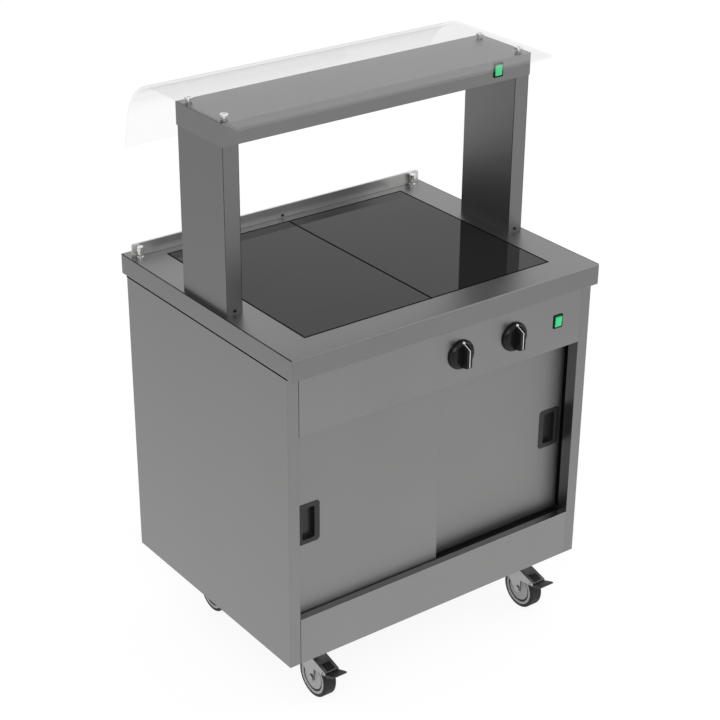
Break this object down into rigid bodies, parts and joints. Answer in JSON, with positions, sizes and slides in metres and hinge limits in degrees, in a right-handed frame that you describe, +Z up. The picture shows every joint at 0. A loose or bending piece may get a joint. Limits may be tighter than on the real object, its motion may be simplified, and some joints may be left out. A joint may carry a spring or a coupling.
{
  "type": "heated servery counter",
  "caption": "Stainless hot cupboard on castors with sliding doors, hot plates in the worktop, and a lamp gantry under a curved serving glass.",
  "frame": {"origin": "on the floor, at the middle of the bounding box", "axes": "+X to the right as seen by the staff, +Y from the staff side (doors, knobs) to the customer side, +Z up"},
  "size_m": [0.825, 0.681, 1.3328],
  "materials": {
    "satin_steel": "satin, fine grain",
    "hot_plate": "dark satin glass-ceramic look",
    "seal_rubber": "matte",
    "bright_steel": "bright rolled",
    "chrome_fittings": "polished",
    "mineral_wool": "matte fibre",
    "toughened_glass": "clear, polished edges",
    "lamp_ceramic": "frosted tube with ceramic ends",
    "white_plastic": "moulded",
    "thermostat_case": "plated case",
    "black_plastic": "fine moulded grain",
    "green_lens": "translucent green",
    "grey_plastic": "moulded nylon",
    "tyre_rubber": "matte rubber",
    "zinc_steel": "bright zinc plate"
  },
  "bodies": {
    "counter": {"worktop": "satin_steel", "hot_plate_left": "hot_plate", "hot_plate_right": "hot_plate", "plate_seal": "seal_rubber", "plate_elements": "satin_steel", "left_side_panel": "satin_steel", "right_side_panel": "satin_steel", "back_panel": "satin_steel", "control_panel": "satin_steel", "lower_front_panel": "satin_steel", "base_tray": "satin_steel", "left_liner": "bright_steel", "right_liner": "bright_steel", "back_liner": "bright_steel", "roof_liner": "bright_steel", "cupboard_floor": "bright_steel", "insulation": "mineral_wool", "middle_shelf": "bright_steel", "shelf_rests": "bright_steel", "top_track": "black_plastic", "bottom_track": "black_plastic", "cupboard_heater": "satin_steel", "thermostats": "thermostat_case", "terminal_block": "white_plastic", "cable_gland": "black_plastic", "rocker_bezels": "black_plastic", "left_post": "satin_steel", "right_post": "satin_steel", "header_shell": "satin_steel", "header_reflector": "bright_steel", "heat_lamps": "lamp_ceramic", "curved_glass": "toughened_glass", "glass_bolts": "chrome_fittings", "glass_collars": "chrome_fittings", "rear_strip": "chrome_fittings", "strip_pillars": "chrome_fittings", "castor_plates": "zinc_steel", "screws": "chrome_fittings"},
    "left_door": {"left_door": "satin_steel", "left_door_cup": "black_plastic"},
    "right_door": {"right_door": "satin_steel", "right_door_cup": "black_plastic"},
    "left_knob": {"left_knob": "black_plastic"},
    "right_knob": {"right_knob": "black_plastic"},
    "panel_rocker": {"panel_rocker": "green_lens"},
    "header_rocker": {"header_rocker": "green_lens"},
    "front_left_castor": {"front_left_fork": "zinc_steel"},
    "front_left_wheel": {"front_left_hub": "grey_plastic", "front_left_tyre": "tyre_rubber"},
    "front_right_castor": {"front_right_fork": "zinc_steel"},
    "front_right_wheel": {"front_right_hub": "grey_plastic", "front_right_tyre": "tyre_rubber"},
    "rear_left_castor": {"rear_left_fork": "zinc_steel"},
    "rear_left_wheel": {"rear_left_hub": "grey_plastic", "rear_left_tyre": "tyre_rubber"},
    "rear_right_castor": {"rear_right_fork": "zinc_steel"},
    "rear_right_wheel": {"rear_right_hub": "grey_plastic", "rear_right_tyre": "tyre_rubber"},
    "front_left_brake": {"front_left_pedal": "black_plastic"},
    "front_right_brake": {"front_right_pedal": "black_plastic"}
  },
  "joints": [
    {"name": "left_door_slide", "type": "slide", "parent": "counter", "child": "left_door", "axis": [1, 0, 0], "range_m": [0, 0.374]},
    {"name": "right_door_slide", "type": "slide", "parent": "counter", "child": "right_door", "axis": [-1, 0, 0], "range_m": [0, 0.378]},
    {"name": "left_knob_turn", "type": "hinge", "parent": "counter", "child": "left_knob", "pos_m": [0.0385, -0.3095, 0.7785], "axis": [0, 1, 0], "range_deg": [0, 270]},
    {"name": "right_knob_turn", "type": "hinge", "parent": "counter", "child": "right_knob", "pos_m": [0.1885, -0.3095, 0.7785], "axis": [0, 1, 0], "range_deg": [0, 270]},
    {"name": "panel_rocker_press", "type": "hinge", "parent": "counter", "child": "panel_rocker", "pos_m": [0.3165, -0.3055, 0.78], "axis": [1, 0, 0], "range_deg": [-10, 0]},
    {"name": "header_rocker_press", "type": "hinge", "parent": "counter", "child": "header_rocker", "pos_m": [0.3105, -0.076, 1.297], "axis": [1, 0, 0], "range_deg": [-10, 0]},
    {"name": "front_left_swivel", "type": "hinge", "parent": "counter", "child": "front_left_castor", "pos_m": [-0.29675, -0.2155, 0.11], "axis": [0, 0, 1], "continuous": true},
    {"name": "front_left_roll", "type": "hinge", "parent": "front_left_castor", "child": "front_left_wheel", "pos_m": [-0.29675, -0.2505, 0.05], "axis": [1, 0, 0], "continuous": true},
    {"name": "front_left_brake_press", "type": "hinge", "parent": "front_left_castor", "child": "front_left_brake", "pos_m": [-0.29675, -0.2945, 0.087], "axis": [1, 0, 0], "range_deg": [0, 8]},
    {"name": "front_right_swivel", "type": "hinge", "parent": "counter", "child": "front_right_castor", "pos_m": [0.31375, -0.2155, 0.11], "axis": [0, 0, 1], "continuous": true},
    {"name": "front_right_roll", "type": "hinge", "parent": "front_right_castor", "child": "front_right_wheel", "pos_m": [0.31375, -0.2505, 0.05], "axis": [1, 0, 0], "continuous": true},
    {"name": "front_right_brake_press", "type": "hinge", "parent": "front_right_castor", "child": "front_right_brake", "pos_m": [0.31375, -0.2945, 0.087], "axis": [1, 0, 0], "range_deg": [0, 8]},
    {"name": "rear_left_swivel", "type": "hinge", "parent": "counter", "child": "rear_left_castor", "pos_m": [-0.29675, 0.2035, 0.11], "axis": [0, 0, 1], "continuous": true},
    {"name": "rear_left_roll", "type": "hinge", "parent": "rear_left_castor", "child": "rear_left_wheel", "pos_m": [-0.29675, 0.1685, 0.05], "axis": [1, 0, 0], "continuous": true},
    {"name": "rear_right_swivel", "type": "hinge", "parent": "counter", "child": "rear_right_castor", "pos_m": [0.31375, 0.2035, 0.11], "axis": [0, 0, 1], "continuous": true},
    {"name": "rear_right_roll", "type": "hinge", "parent": "rear_right_castor", "child": "rear_right_wheel", "pos_m": [0.31375, 0.1685, 0.05], "axis": [1, 0, 0], "continuous": true}
  ]
}
